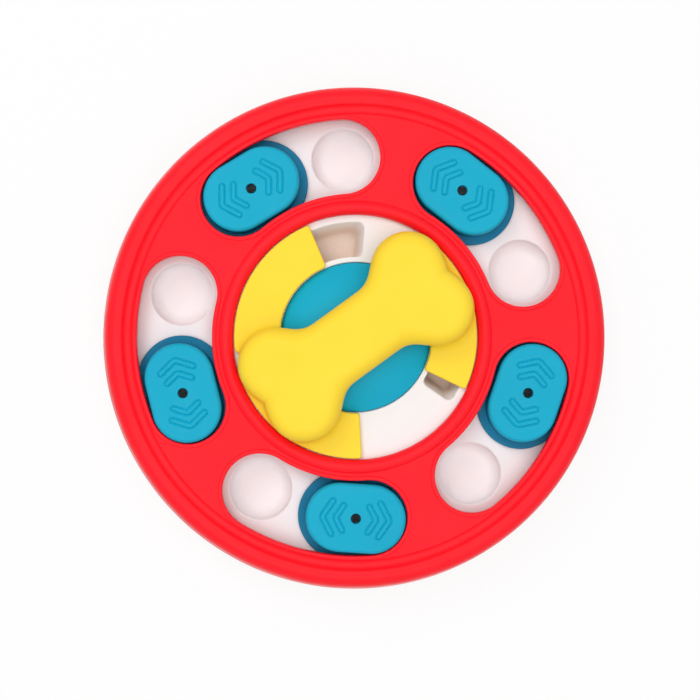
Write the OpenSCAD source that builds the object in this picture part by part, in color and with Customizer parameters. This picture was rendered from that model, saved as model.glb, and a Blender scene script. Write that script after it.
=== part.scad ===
// Round puzzle feeder for dogs: five sliders in curved slots hide ten treat bowls, and a rotor with a
// bone-shaped handle hides three treat pockets in the middle.
// Millimetres. Z = 0 is the floor that it stands on, and the Z axis is the rotor's axis.

/* [Cover] */
// Outline of the cover, at the foot of its skirt
toy_d = 250; // [248:1:262]
// Thickness of the deck between the slots
deck_t = 3; // [2.4:0.1:3.6]
// Wall of the skirt and of the rim
shell_t = 2.6; // [2:0.1:3]
// How far the skirt leans in between its foot and the rim
skirt_lean = 4; // [3:0.1:4.4]
// Rounding of the rim's outer edge
rim_round = 6; // [5.4:0.1:6.4]
// Height of the raised rim over the deck
rim_up = 0.8; // [0.4:0.1:1.6]
// Width of the flat on top of the rim
rim_flat = 1.5; // [0.4:0.1:2]
// Rounding of the rim's inner edge
shoulder_round = 2; // [1.4:0.1:2.4]
// Angle at which the rim's inner edge turns into the valley
rim_turn = 146; // [140:1:150]
// Rounding of the valley inside the rim
valley_round = 3; // [2.6:0.1:3.4]
// Distance from the valley's centre in to the deck's edge
valley_in = 2.2; // [2:0.1:2.4]
// Width of the ring between the slots and the centre opening
inner_ring = 10; // [9:0.5:12]
// Rounding of the bead round the centre opening
bead_round = 3.6; // [3:0.1:4]
// Height of the bead over the deck
bead_up = 1.6; // [1:0.1:2.2]
// How high the skirt's foot stays over the base's underside
skirt_lift = 1; // [0.5:0.1:2]

/* [Slots] */
// Width of the ring between the toy's edge and the slots
slot_edge = 20; // [19.5:0.1:22]
// Width of a slot
slot_w = 36; // [34:0.5:37]
// Angle between the centres of a slot's round ends
slot_sweep = 36.4; // [35:0.1:37]
// Direction of the middle of the first slot
slot_turn = 112.3; // [0:0.1:360]
// Width of the raised lip round a slot
lip_w = 2; // [1.6:0.1:2.1]
// Height of the lip over the deck
lip_h = 0.7; // [0.3:0.1:1.2]
// How far the guide collar stands back from the slot's edge
collar_back = 2; // [1:0.1:2.2]
// Thickness of the guide collar
collar_t = 1.8; // [1.2:0.1:2]
// Height of the guide collar under the deck
collar_h = 4.2; // [3:0.1:6]

/* [Sliders] */
// Length of a slider's cap
cap_len = 48.2; // [44:0.2:50]
// Clearance between the cap's sides and the slot
cap_gap = 1.4; // [1.2:0.1:2]
// Clearance left between the cap and the slot's end, at each end of its travel
end_gap = 0.7; // [0.4:0.1:1]
// How far the cap stands over the deck
cap_up = 2; // [1.4:0.1:4]
// Wall of the slider
cap_t = 2.2; // [1.6:0.1:2.8]
// Rounding of the cap's top edge
cap_round = 2; // [0.6:0.1:2.2]
// How far the flange reaches under the cover on each side
flange_over = 3.25; // [2.6:0.05:3.4]
// How much shorter than its sides the flange's reach is at each end
flange_short = 0.8; // [0:0.1:1.2]
// Thickness of the flange
flange_t = 2; // [1.4:0.1:3]
// Running clearance over and under the flange
glide = 0.3; // [0.2:0.05:0.5]
// Diameter of the scent hole
scent_d = 4.8; // [3:0.1:7]
// Width of a chevron's stroke
chevron_w = 2; // [1.4:0.1:2.4]
// Height of the chevrons over the cap
chevron_h = 0.5; // [0.3:0.1:1]
// Distance from the scent hole to the tip of the outer chevrons
chevron_far = 17.2; // [15:0.1:18]
// Distance from the scent hole to the tip of the inner chevrons
chevron_near = 10.8; // [10:0.1:12]
// Length of an outer chevron's arm
arm_far = 9.3; // [8:0.1:10.6]
// Length of an inner chevron's arm
arm_near = 7; // [6:0.1:8.4]
// How far a chevron's arms lean back
chevron_lean = 31; // [25:0.1:40]

/* [Tray] */
// Diameter of a treat bowl
bowl_d = 30; // [26:0.5:31]
// Depth of a treat bowl
bowl_depth = 9.2; // [8:0.1:14]
// Rounding between a bowl's wall and its floor
bowl_round = 5.5; // [3:0.1:6]
// Thickness of a bowl's wall and floor
bowl_t = 1.6; // [1.2:0.1:2]
// Rounding of a bowl's rim
bowl_rim = 1; // [0.6:0.1:1.6]
// Thickness of the tray sheet
tray_t = 2.2; // [1.8:0.1:3]
// Clearance between the tray and its neighbours
tray_gap = 0.3; // [0.2:0.1:0.5]

/* [Drum] */
// Wall of the drum
drum_t = 2.4; // [1.8:0.1:2.8]
// How far the drum reaches out under the cover's opening
drum_over = 2.5; // [1.6:0.1:3]
// Clearance under the cover's opening
drum_gap = 0.4; // [0.3:0.1:0.6]
// Direction of the middle of the first pocket
pocket_turn = 115.3; // [0:0.1:360]
// Angle that a pocket takes up at its mouth
pocket_sweep = 60; // [50:1:66]
// Width of the drum's rim outside the pockets
pocket_rim = 5.7; // [5.4:0.1:8]
// Depth of a pocket
pocket_depth = 12.6; // [10:0.1:13.5]
// How far a pocket's walls lean in between mouth and floor
pocket_lean = 4.6; // [2:0.1:5]
// Rounding of a pocket's corners
pocket_round = 3; // [2:0.1:4]
// Wall of a pocket
pocket_t = 1.6; // [1.2:0.1:2]

/* [Dome] */
// Distance between the dome's edge and the wings, seen from above
dome_apart = 0.4; // [0.3:0.1:2]
// Height of the dome over the drum
dome_h = 9.4; // [7:0.1:12]
// Wall of the dome
dome_t = 2.4; // [1.8:0.1:3]
// Depth of the dome's seat in the drum
dome_seat = 3.6; // [2:0.1:4]
// Clearance round the dome in its seat
dome_gap = 0.3; // [0.2:0.05:0.5]

/* [Rotor] */
// Clearance between the wings and the centre opening
wing_gap = 0.6; // [0.4:0.1:1.2]
// Width of the wings
wing_w = 22; // [19:0.1:22.4]
// Thickness of the wings
wing_t = 3; // [2:0.1:4]
// Angle that a wing takes up
wing_sweep = 74; // [60:1:76]
// Rounding of the wings' edges
wing_round = 0.9; // [0.4:0.1:1]
// Direction of the handle's long axis
bone_turn = 36; // [0:0.1:360]
// Distance from the wings' outer edge in to the lobes
lobe_in = 0.2; // [0.1:0.1:3]
// Distance from the handle's axis to a lobe's centre
lobe_y = 11.7; // [10:0.1:13]
// Radius of a lobe
lobe_r = 17.7; // [16:0.1:18.4]
// Width of the handle's waist
waist_w = 34; // [30:0.5:36]
// Distance from the wings' outer edge in to the dent between two lobes
dent_in = 8; // [6:0.1:10]
// Softness of the blend between the lobes and the waist
bone_blend = 9; // [6:0.5:12]
// Height of the handle over the wings
bone_h = 17; // [15:0.5:24]
// Rounding of the handle's top edge, sideways and upwards
bone_round = 10; // [8:0.5:12]
// Diameter of the spindle
spindle_d = 12; // [10:0.5:14]
// Running clearance round the spindle
spindle_gap = 0.08; // [0.06:0.01:0.1]
// Clearance over and under the rotor's bearing faces
thrust_gap = 0.3; // [0.2:0.05:0.5]
// Width of the spindle's collar round it
collar_w = 3; // [2:0.5:4]

/* [Base] */
// Thickness of the floor plate
base_t = 2.4; // [2:0.1:3]
// Clearance between the skirt and what lies inside it
base_gap = 0.6; // [0.4:0.1:1]
// Thickness of the base's raised edge
base_wall = 2.4; // [2:0.1:3]
// Height of the base's raised edge over its floor
base_edge = 2.6; // [1:0.1:2.8]

/* [Screws and feet] */
// Diameter of the screws
screw_d = 3; // [2.6:0.1:3.4]
// Diameter of the screws' heads
head_d = 6.4; // [6:0.1:7]
// Height of the screws' heads
head_h = 1.8; // [1.4:0.1:2.4]
// Length of the screws under the head
screw_len = 13; // [9:0.5:14]
// How deep the screws' heads sink in the base's underside
head_sink = 1.2; // [0.8:0.1:2]
// Clearance round a screw
screw_gap = 0.05; // [0.02:0.01:0.1]
// Diameter of the cover's screw posts
post_d = 9; // [8:0.1:10]
// Distance from the base's edge in to the screw posts' centres
post_in = 17.3; // [17:0.1:19]
// Height of the base's screw pads over its floor
pad_h = 2.8; // [2:0.1:3]
// Diameter of the washer under the spindle
washer_d = 18; // [16:0.5:20]
// Thickness of the washer
washer_t = 1.6; // [1:0.1:2]
// Diameter of a foot
foot_d = 18; // [12:0.5:20]
// Height of a foot under the base
foot_h = 2; // [1:0.1:4]
// Depth of a foot's seat in the base
foot_seat = 1; // [0.5:0.1:1.2]
// Distance from the base's edge in to the feet's centres
foot_in = 16.8; // [14:0.2:30]

/* [Hidden] */
$fn = 96;

red = [0.98, 0.12, 0.16];
blue = [0.13, 0.67, 0.78];
yellow = [1, 0.89, 0.25];
white = [0.95, 0.93, 0.92];
rubber = [0.9, 0.9, 0.9];
steel = [0.7, 0.7, 0.72];

slots = 5;
slot_pitch = 360 / slots;
pockets = 3;
pocket_pitch = 360 / pockets;
toy_r = toy_d / 2;
slot_r = toy_r - slot_edge - slot_w / 2; // the slots' centre line
cut = 1; // how far a cutting shape passes the face that it cuts
end_swell = 0.1; // how much wider a slot's round ends are than the slot
edge_round = 0.6; // rounding of a flange's edge
foot_round = 0.8; // rounding of a foot's edge
hub_t = 4; // wall of the bearing tube
dome_bore_gap = 0.5; // clearance of the dome's hole over the bearing's bore
pilot_extra = 1; // depth of a screw hole past the screw's tip
pad_wall = 3; // wall of the base's pads round the screws' heads
head_gap = 0.5; // clearance round a screw's head
service_gap = 2; // clearance of the base's middle hole over the washer
root = deck_t / 3; // how far the posts reach into the deck

// heights, from the floor up
base_z = foot_h;
base_top = base_z + base_t;
tray_z = base_top + bowl_t + bowl_depth;
flange_z = tray_z + glide;
collar_z = flange_z + flange_t + glide;
deck_under = collar_z + collar_h;
deck_z = deck_under + deck_t;
cap_z = deck_z + cap_up;
drum_z = deck_under - drum_gap;
wing_z = drum_z + drum_gap;
handle_z = wing_z + wing_t;
dome_z = drum_z + dome_h;
seat_z = drum_z - dome_seat;
skirt_z = base_z + skirt_lift;
pad_z = base_top + pad_h;
head_z = base_z + head_sink;

// slots and sliders
cap_w = slot_w - 2 * cap_gap;
cap_straight = cap_len - cap_w;
flange_straight = cap_straight - 2 * flange_short;
flange_w = slot_w + 2 * flange_over;
cap_half_turn = atan(cap_straight / 2 / slot_r);
slider_end = slot_sweep / 2 - cap_half_turn + (cap_gap - end_gap) / slot_r * 180 / PI;
slider_back = [1.2, 0, 0, 0, 0]; // how far each slider was left back from its slot's end
slider_skew = [4, 4, 4, 0.8, 2.2]; // how far each slider lies askew in its slot, clockwise

// rings round the middle
opening_r = slot_r - slot_w / 2 - inner_ring;
drum_r = opening_r + drum_over;
wing_out = opening_r - wing_gap;
wing_in = wing_out - wing_w;
dome_r = wing_in - dome_apart;
ring_in = dome_r + dome_gap;
ring_out = ring_in + drum_t;
pocket_r = drum_r - pocket_rim;
lobe_x = sqrt(pow(wing_out - lobe_r - lobe_in, 2) - lobe_y * lobe_y);
bone_end = wing_out - dent_in;

// what lies inside the skirt
rim_c = [toy_r - skirt_lean - rim_round, deck_z + rim_up - rim_round];
function skirt_in(z) = toy_r - shell_t - skirt_lean * (z - skirt_z) / (rim_c[1] - skirt_z);
tray_in = drum_r + tray_gap;
tray_out = skirt_in(tray_z) - base_gap;
base_r = skirt_in(base_top + base_edge) - base_gap;
post_r = base_r - post_in;
foot_r = base_r - foot_in;
web_turn = slot_turn - slot_pitch / 2;

// bearing
bore_r = spindle_d / 2 + spindle_gap;
hub_r = bore_r + hub_t;
collar_r = spindle_d / 2 + collar_w;
bone_under = dome_z + 3 * thrust_gap;
bearing_z = base_top + head_h + washer_t + thrust_gap;
washer_z = bearing_z - thrust_gap - washer_t;
service_r = washer_d / 2 + service_gap;

function arc(c, r, from, to, n = 8) =
    [for (i = [0:n]) let (a = from + (to - from) * i / n) [c[0] + r * cos(a), c[1] + r * sin(a)]];
function slot_dir(k) = slot_turn + (k - 1) * slot_pitch;
function web_dir(k) = web_turn + (k - 1) * slot_pitch;

// ---- shared shapes ----

// a pie slice, for sweeps under 90 degrees
module wedge(sweep, r) {
    polygon([[0, 0], [r * cos(sweep / 2), -r * sin(sweep / 2)], [r * cos(sweep / 2), r * sin(sweep / 2)]]);
}

// the slot as seen from above, w wide, with ends a little wider so that they cross its edges cleanly
module slot_area(w) {
    intersection() {
        difference() {
            circle(r = slot_r + w / 2);
            circle(r = slot_r - w / 2);
        }
        wedge(slot_sweep, toy_d);
    }
    for (side = [-1, 1])
        rotate(side * slot_sweep / 2) translate([slot_r, 0]) circle(d = w + end_swell);
}

// a long round-ended block from half its section, with its long axis along Y
module stadium(straight) {
    for (side = [0, 1])
        mirror([0, side, 0]) translate([0, straight / 2, 0]) rotate_extrude(angle = 180) children();
    rotate([90, 0, 0]) linear_extrude(straight, center = true) {
        children();
        mirror([1, 0]) children();
    }
}

// ---- cover ----

shoulder_c = [rim_c[0] - rim_flat, deck_z + rim_up - shoulder_round];
valley_c = shoulder_c + (shoulder_round + valley_round) * [cos(rim_turn), sin(rim_turn)];
deck_out = valley_c[0] - valley_in;
valley_end = 180 - acos((valley_c[0] - deck_out) / valley_round);
bead_c = [opening_r + bead_round, deck_z + bead_up - bead_round];
bead_end = asin((deck_z - bead_c[1]) / bead_round);

module cover_section() {
    polygon(concat(
        [[skirt_in(skirt_z), skirt_z], [toy_r, skirt_z]],
        arc(rim_c, rim_round, 0, 90, 8),
        arc(shoulder_c, shoulder_round, 90, rim_turn, 5),
        arc(valley_c, valley_round, rim_turn - 180, -valley_end, 8),
        [[deck_out, deck_z]],
        arc(bead_c, bead_round, bead_end, 180, 12),
        [[opening_r, deck_under], [valley_c[0] + shell_t / 2, deck_under]],
        arc(rim_c, rim_round - shell_t, 90, 0, 6)
    ));
}

module cover() color(red) difference() {
    union() {
        rotate_extrude() cover_section();
        for (k = [1:slots]) rotate(slot_dir(k)) {
            translate([0, 0, deck_z - deck_t / 2]) linear_extrude(deck_t / 2 + lip_h)
                slot_area(slot_w + 2 * lip_w);
        }
        for (k = [1:slots])
            rotate(web_dir(k)) translate([post_r, 0, pad_z])
                cylinder(d = post_d, h = deck_under + root - pad_z);
    }
    for (k = [1:slots]) rotate(slot_dir(k))
        translate([0, 0, -cut]) linear_extrude(cap_z + 2 * cut) slot_area(slot_w);
    for (k = [1:slots])
        rotate(web_dir(k)) translate([post_r, 0, pad_z - cut])
            cylinder(d = screw_d + 2 * screw_gap,
                h = cut + head_z + head_h + screw_len + pilot_extra - pad_z);
}

// the collar under a slot that guides its slider
module guide(k) color(red) rotate(slot_dir(k)) translate([0, 0, collar_z]) linear_extrude(collar_h)
    difference() {
        slot_area(slot_w + 2 * (collar_back + collar_t));
        slot_area(slot_w + 2 * collar_back);
    }

// ---- base, screws and feet ----

module base() color(white) difference() {
    union() {
        translate([0, 0, base_z]) cylinder(r = base_r, h = base_t);
        translate([0, 0, base_z]) difference() {
            cylinder(r = base_r, h = base_t + base_edge);
            translate([0, 0, -cut]) cylinder(r = base_r - base_wall, h = tray_z);
        }
        for (k = [1:slots])
            rotate(web_dir(k)) translate([post_r, 0, base_z])
                cylinder(d = head_d + 2 * pad_wall, h = pad_z - base_z);
    }
    translate([0, 0, base_z - cut]) cylinder(r = service_r, h = base_t + 2 * cut);
    for (k = [1:slots]) {
        rotate(web_dir(k)) translate([post_r, 0, base_z - cut]) {
            cylinder(d = head_d + 2 * head_gap, h = cut + head_z + head_h - base_z);
            cylinder(d = screw_d + 4 * screw_gap, h = pad_z);
        }
        rotate(slot_dir(k)) translate([foot_r, 0, base_z - cut])
            cylinder(d = foot_d + 2 * screw_gap, h = foot_seat + cut);
    }
}

screw_end = 0.4; // radius of the flat at a screw's tip
cross_len = 0.56; // a screw's cross recess, as shares of its head
cross_w = 0.14;
cross_depth = 0.55;

module screw(d, head, head_t, len) {
    difference() {
        rotate_extrude() polygon(concat(
            [[0, 0]],
            arc([head / 2 - head_t / 2, head_t / 2], head_t / 2, -90, 0, 4),
            [[head / 2, head_t], [d / 2, head_t], [d / 2, head_t + len - d / 2],
                [screw_end, head_t + len], [0, head_t + len]]
        ));
        for (turn = [0, 90])
            rotate(turn) translate([-head * cross_len / 2, -head * cross_w / 2, -cut])
                cube([head * cross_len, head * cross_w, cut + head_t * cross_depth]);
    }
}

module cover_screws() color(steel)
    for (k = [1:slots])
        rotate(web_dir(k)) translate([post_r, 0, head_z]) screw(screw_d, head_d, head_h, screw_len);

module foot(k) color(rubber) rotate(slot_dir(k)) translate([foot_r, 0, 0]) rotate_extrude()
    polygon(concat([[0, 0]], arc([foot_d / 2 - foot_round, foot_round], foot_round, -90, 0, 4),
        [[foot_d / 2, foot_h + foot_seat], [0, foot_h + foot_seat]]));

// ---- tray ----

bowl_out = bowl_d / 2 + bowl_t;

// the space inside a bowl, as half its section
module bowl_hollow() {
    r = bowl_d / 2;
    z = base_top + bowl_t;
    polygon(concat(
        [[0, z]],
        arc([r - bowl_round, z + bowl_round], bowl_round, -90, 0, 8),
        arc([r + bowl_rim, tray_z - bowl_rim], bowl_rim, 180, 90, 5),
        [[r + bowl_rim, tray_z + cut], [0, tray_z + cut]]
    ));
}

module bowl_shell() {
    polygon(concat(
        [[0, base_top]],
        arc([bowl_out - bowl_round - bowl_t, base_top + bowl_round + bowl_t], bowl_round + bowl_t, -90, 0, 8),
        [[bowl_out, tray_z - tray_t / 2], [0, tray_z - tray_t / 2]]
    ));
}

module dish(k) color(white) rotate(slot_dir(k)) difference() {
    union() {
        translate([0, 0, tray_z - tray_t]) linear_extrude(tray_t) difference() {
            intersection() {
                difference() {
                    circle(r = tray_out);
                    circle(r = tray_in);
                }
                translate([tray_gap / 2, 0]) wedge(slot_pitch, toy_d);
            }
            for (side = [-1, 1])
                rotate(side * slot_pitch / 2) translate([post_r, 0]) circle(d = post_d + 2 * tray_gap);
        }
        for (side = [-1, 1])
            rotate(side * slot_sweep / 2) translate([slot_r, 0, 0]) rotate_extrude() bowl_shell();
    }
    for (side = [-1, 1])
        rotate(side * slot_sweep / 2) translate([slot_r, 0, 0]) rotate_extrude() bowl_hollow();
}

// ---- drum and dome ----

// how far a pocket's wall leans in at height z
function pocket_in(z) = pocket_lean * (drum_z - z) / pocket_depth;

// a pocket from inner radius r and height floor_z up to top_z, out wider all round than its mouth
module pocket_tub(out, r, floor_z, top_z) {
    lean_angle = atan(pocket_lean / pocket_depth);
    corner = pocket_round + out;
    wall = pocket_r + out - pocket_in(floor_z + corner);
    intersection() {
        rotate(-pocket_sweep) rotate_extrude(angle = 2 * pocket_sweep) polygon(concat(
            [[r, floor_z]],
            arc([wall - corner / cos(lean_angle), floor_z + corner], corner, -90, -lean_angle, 6),
            [[pocket_r + out - pocket_in(top_z), top_z], [r, top_z]]
        ));
        pocket_end(1, out, floor_z, top_z);
        pocket_end(-1, out, floor_z, top_z);
    }
}

// everything on the pocket's side of one of its leaning ends
module pocket_end(side, out, floor_z, top_z) {
    rotate(side * pocket_sweep / 2) rotate([90, 0, 90]) linear_extrude(toy_r) polygon([
        [side * (out - pocket_in(top_z + cut)), top_z + cut], [-side * toy_r, top_z + cut],
        [-side * toy_r, floor_z - cut], [side * (out - pocket_in(floor_z - cut)), floor_z - cut]]);
}

module drum() color(white) difference() {
    union() {
        // top plate and outer wall
        translate([0, 0, drum_z - drum_t]) difference() {
            cylinder(r = drum_r, h = drum_t);
            translate([0, 0, -cut]) cylinder(r = ring_in, h = drum_t + 2 * cut);
        }
        translate([0, 0, base_top]) difference() {
            cylinder(r = drum_r, h = drum_z - base_top - drum_t / 2);
            translate([0, 0, -cut]) cylinder(r = drum_r - drum_t, h = drum_z);
        }
        // ring wall round the dome, and the plate under it with the bearing tube
        translate([0, 0, base_top]) difference() {
            cylinder(r = ring_out, h = drum_z - base_top);
            translate([0, 0, -cut]) cylinder(r = ring_in, h = drum_z);
        }
        translate([0, 0, seat_z - drum_t]) cylinder(r = ring_in + drum_t / 2, h = drum_t);
        translate([0, 0, bearing_z]) cylinder(r = hub_r, h = seat_z - bearing_z);
        for (p = [0:pockets - 1])
            rotate(pocket_turn + p * pocket_pitch)
                pocket_tub(pocket_t, ring_out - drum_t / 2,
                    drum_z - pocket_depth - pocket_t, drum_z - drum_t / 2);
    }
    for (p = [0:pockets - 1])
        rotate(pocket_turn + p * pocket_pitch)
            pocket_tub(0, ring_out, drum_z - pocket_depth, drum_z + cut / 2);
    translate([0, 0, -cut]) cylinder(r = bore_r, h = deck_z);
}

dome_ball = (dome_r * dome_r + dome_h * dome_h) / (2 * dome_h);

module dome() color(blue) difference() {
    union() {
        intersection() {
            translate([0, 0, dome_z - dome_ball]) sphere(r = dome_ball);
            translate([0, 0, drum_z]) cylinder(r = dome_r + cut, h = dome_h + cut);
        }
        translate([0, 0, seat_z]) cylinder(r = dome_r, h = dome_seat);
    }
    difference() {
        translate([0, 0, dome_z - dome_ball]) sphere(r = dome_ball - dome_t);
        translate([0, 0, drum_z - dome_ball * 2]) cylinder(r = dome_ball, h = dome_ball * 2);
    }
    translate([0, 0, seat_z - cut]) cylinder(r = dome_r - dome_t * 2, h = dome_seat + cut);
    translate([0, 0, seat_z]) cylinder(r = bore_r + dome_bore_gap, h = dome_h + dome_seat + cut);
}

// ---- sliders ----

module flange_section() {
    polygon(concat(
        [[0, flange_z], [flange_w / 2 - edge_round / 2, flange_z], [flange_w / 2, flange_z + edge_round / 2]],
        arc([flange_w / 2 - edge_round, flange_z + flange_t - edge_round], edge_round, 0, 90, 4),
        [[0, flange_z + flange_t]]
    ));
}

module cap_section() {
    polygon(concat(
        [[0, flange_z], [cap_w / 2, flange_z]],
        arc([cap_w / 2 - cap_round, cap_z - cap_round], cap_round, 0, 90, 6),
        [[0, cap_z]]
    ));
}

module slider_hollow() {
    r = cap_w / 2 - cap_t;
    polygon(concat(
        [[0, flange_z - cut], [r, flange_z - cut]],
        arc([r - cap_round, cap_z - cap_t - cap_round], cap_round, 0, 90, 6),
        [[0, cap_z - cap_t]]
    ));
}

// an arrow head pointing along Y, with its tip at far and two arms back and out, with round ends
module chevron(far, arm) {
    r = chevron_w / 2;
    tip = far - r;
    end = [arm * cos(chevron_lean), tip - arm * sin(chevron_lean)];
    right = concat([[0, far]], arc(end, r, 90 - chevron_lean, -90 - chevron_lean, 6));
    left = [for (i = [len(right) - 1:-1:1]) [-right[i][0], right[i][1]]];
    translate([0, 0, cap_z - chevron_h]) linear_extrude(2 * chevron_h)
        polygon(concat(right, [[0, tip - r / cos(chevron_lean)]], left));
}

// how far a slider turns back from its slot's end
function slider_turn(k) = slider_end - slider_back[k - 1] / slot_r * 180 / PI;

module slider_shape() difference() {
    union() {
        stadium(flange_straight) flange_section();
        stadium(cap_straight) cap_section();
        for (side = [0, 1]) mirror([0, side, 0]) {
            chevron(chevron_far, arm_far);
            chevron(chevron_near, arm_near);
        }
    }
    stadium(cap_straight) slider_hollow();
    translate([0, 0, flange_z]) cylinder(d = scent_d, h = cap_z);
}

module slider(k) color(blue)
    rotate(slot_dir(k) + slider_turn(k)) translate([slot_r, 0, 0]) rotate(-slider_skew[k - 1]) slider_shape();

// ---- rotor ----

// start directions of the wings
wing_starts = [112.8, 198.9, -25.5];

module wing_section() {
    r = wing_round;
    polygon(concat(
        [[wing_in, wing_z], [wing_out, wing_z]],
        arc([wing_out - r, handle_z - r], r, 0, 90, 4),
        arc([wing_in + r, handle_z - r], r, 90, 180, 4)
    ));
}

module rotor_wings() color(yellow)
    for (start = wing_starts) rotate(start) rotate_extrude(angle = wing_sweep) wing_section();

// the handle's outline as a level curve, from four lobes and a waist: it is below zero inside
function blend(a, b, k) = min(a, b) - pow(max(k - abs(a - b), 0), 2) / (4 * k);
function bone_level(x, y) = blend(
    norm([abs(x) - lobe_x, abs(y) - lobe_y]) - lobe_r,
    norm([max(abs(x) - bone_end + waist_w / 2, 0), y]) - waist_w / 2,
    bone_blend);
function bone_reach(a, low = 0, high = toy_r, n = 22) = n == 0 ? low :
    let (mid = (low + high) / 2)
    bone_level(mid * cos(a), mid * sin(a)) < 0 ?
        bone_reach(a, mid, high, n - 1) : bone_reach(a, low, mid, n - 1);
function bone_top(x, y) =
    let (e = min(max(-bone_level(x, y), 0) / bone_round, 1), rise = bone_round * sqrt(1 - pow(1 - e, 2)))
    handle_z + bone_h - bone_round + rise;

bone_steps = 96;
bone_rings = [0.3, 0.5, 0.65, 0.77, 0.86, 0.93, 0.98, 1];

module bone_body() {
    reach = [for (i = [0:bone_steps - 1]) bone_reach(i * 360 / bone_steps)];
    top = [for (s = bone_rings) for (i = [0:bone_steps - 1])
        let (a = i * 360 / bone_steps, x = s * reach[i] * cos(a), y = s * reach[i] * sin(a))
        [x, y, bone_top(x, y)]];
    foot = [for (i = [0:bone_steps - 1])
        let (a = i * 360 / bone_steps) [reach[i] * cos(a), reach[i] * sin(a), handle_z]];
    n = bone_steps;
    rings = len(bone_rings);
    middle = len(top) + len(foot);
    polyhedron(
        points = concat(top, foot, [[0, 0, bone_top(0, 0)], [0, 0, handle_z]]),
        faces = concat(
            [for (i = [0:n - 1]) [middle, (i + 1) % n, i]],
            [for (j = [0:rings - 1]) for (i = [0:n - 1])
                [j * n + i, j * n + (i + 1) % n, (j + 1) * n + i]],
            [for (j = [0:rings - 1]) for (i = [0:n - 1])
                [j * n + (i + 1) % n, (j + 1) * n + (i + 1) % n, (j + 1) * n + i]],
            [for (i = [0:n - 1]) [middle + 1, rings * n + i, rings * n + (i + 1) % n]]
        )
    );
}

module bone_handle() color(yellow) difference() {
    rotate(bone_turn) bone_body();
    translate([0, 0, handle_z - cut]) cylinder(r = wing_in - drum_gap, h = bone_under - handle_z + cut);
}

module spindle() color(yellow) difference() {
    union() {
        translate([0, 0, washer_z + washer_t]) cylinder(d = spindle_d, h = bone_under - washer_z - washer_t);
        translate([0, 0, dome_z + thrust_gap]) cylinder(r = collar_r, h = bone_under - dome_z - thrust_gap);
    }
    translate([0, 0, washer_z]) cylinder(d = screw_d + 2 * screw_gap, h = washer_t + screw_len + pilot_extra);
}

module pivot_washer() color(steel) translate([0, 0, washer_z]) difference() {
    cylinder(d = washer_d, h = washer_t);
    translate([0, 0, -cut]) cylinder(d = screw_d + 4 * screw_gap, h = washer_t + 2 * cut);
}

module pivot_screw() color(steel) translate([0, 0, washer_z - head_h])
    screw(screw_d, head_d, head_h, screw_len);

cover();
guide(1);  // guide_1
guide(2);  // guide_2
guide(3);  // guide_3
guide(4);  // guide_4
guide(5);  // guide_5
base();
dish(1);  // dish_1
dish(2);  // dish_2
dish(3);  // dish_3
dish(4);  // dish_4
dish(5);  // dish_5
drum();
dome();
cover_screws();
foot(1);  // foot_1
foot(2);  // foot_2
foot(3);  // foot_3
foot(4);  // foot_4
foot(5);  // foot_5
slider(1);  // slider_1
slider(2);  // slider_2
slider(3);  // slider_3
slider(4);  // slider_4
slider(5);  // slider_5
rotor_wings();
bone_handle();
spindle();
pivot_washer();
pivot_screw();
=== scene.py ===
# %% [markdown]
# # A puzzle feeder for dogs, lying face up
#
# The toy is a round red housing with five curved slots. In each slot a blue slider covers one of two
# treat bowls, and in the middle a yellow rotor with a bone-shaped handle turns over three more pockets.
# The packed model gives the exact places and sizes. It comes in first and stays as it is: what we build
# here rides on its bodies, so the sliders and the rotor can move. Every object is in metres, while the
# sizes below are in millimetres, as on a drawing of the toy.

# %% Load the packed model
import math

import bmesh
import bpy
import numpy as np
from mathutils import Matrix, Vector, geometry


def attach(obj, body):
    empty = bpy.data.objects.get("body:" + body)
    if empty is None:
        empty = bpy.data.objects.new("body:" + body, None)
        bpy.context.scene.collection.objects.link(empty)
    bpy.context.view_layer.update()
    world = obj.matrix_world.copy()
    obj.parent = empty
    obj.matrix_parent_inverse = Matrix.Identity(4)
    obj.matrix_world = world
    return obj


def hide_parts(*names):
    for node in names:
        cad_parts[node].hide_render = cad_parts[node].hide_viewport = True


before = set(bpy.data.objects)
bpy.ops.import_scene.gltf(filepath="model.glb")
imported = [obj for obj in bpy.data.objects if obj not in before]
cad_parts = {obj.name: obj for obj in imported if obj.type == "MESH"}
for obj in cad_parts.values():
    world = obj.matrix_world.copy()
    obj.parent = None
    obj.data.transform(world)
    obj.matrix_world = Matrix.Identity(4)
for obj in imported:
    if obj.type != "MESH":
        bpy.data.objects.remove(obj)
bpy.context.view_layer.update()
scene = bpy.context.scene
MM = 0.001

# %% [markdown]
# ## The camera
#
# The picture is taken straight from above, about 60 cm over the toy. A camera that stood exactly on the
# toy's axis would show every circle round the same point. Here the circles at different heights have
# slightly different centres, which gives the small offset and the small tilt.

# %% Camera
camera = bpy.data.objects.new("camera", bpy.data.cameras.new("camera"))
camera.location = [c * MM for c in (-13.07, -9.37, 600)]
camera.rotation_euler = [math.radians(a) for a in (0.3133, -1.025, 0.0479)]
camera.data.lens = 61.59
camera.data.sensor_width = 36
scene.collection.objects.link(camera)
scene.camera = camera
print("camera height", round(camera.location.z, 3))

# %% [markdown]
# ## A kit for moulded shells
#
# Nearly every wall of a moulded toy is an outline that moves in or out as it goes up or down: a slot's
# lip, a bowl, a button's edge. So one small kit makes most pieces. An outline is a function that gives
# its closed line of points at a distance, and a profile is a list of distances and heights. Lofting the
# outline along the profile gives the wall, with its roundings, and flat ground between such walls is
# filled with triangles. Subdivision surfaces would round the edges too, but their sizes would be a guess.

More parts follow.
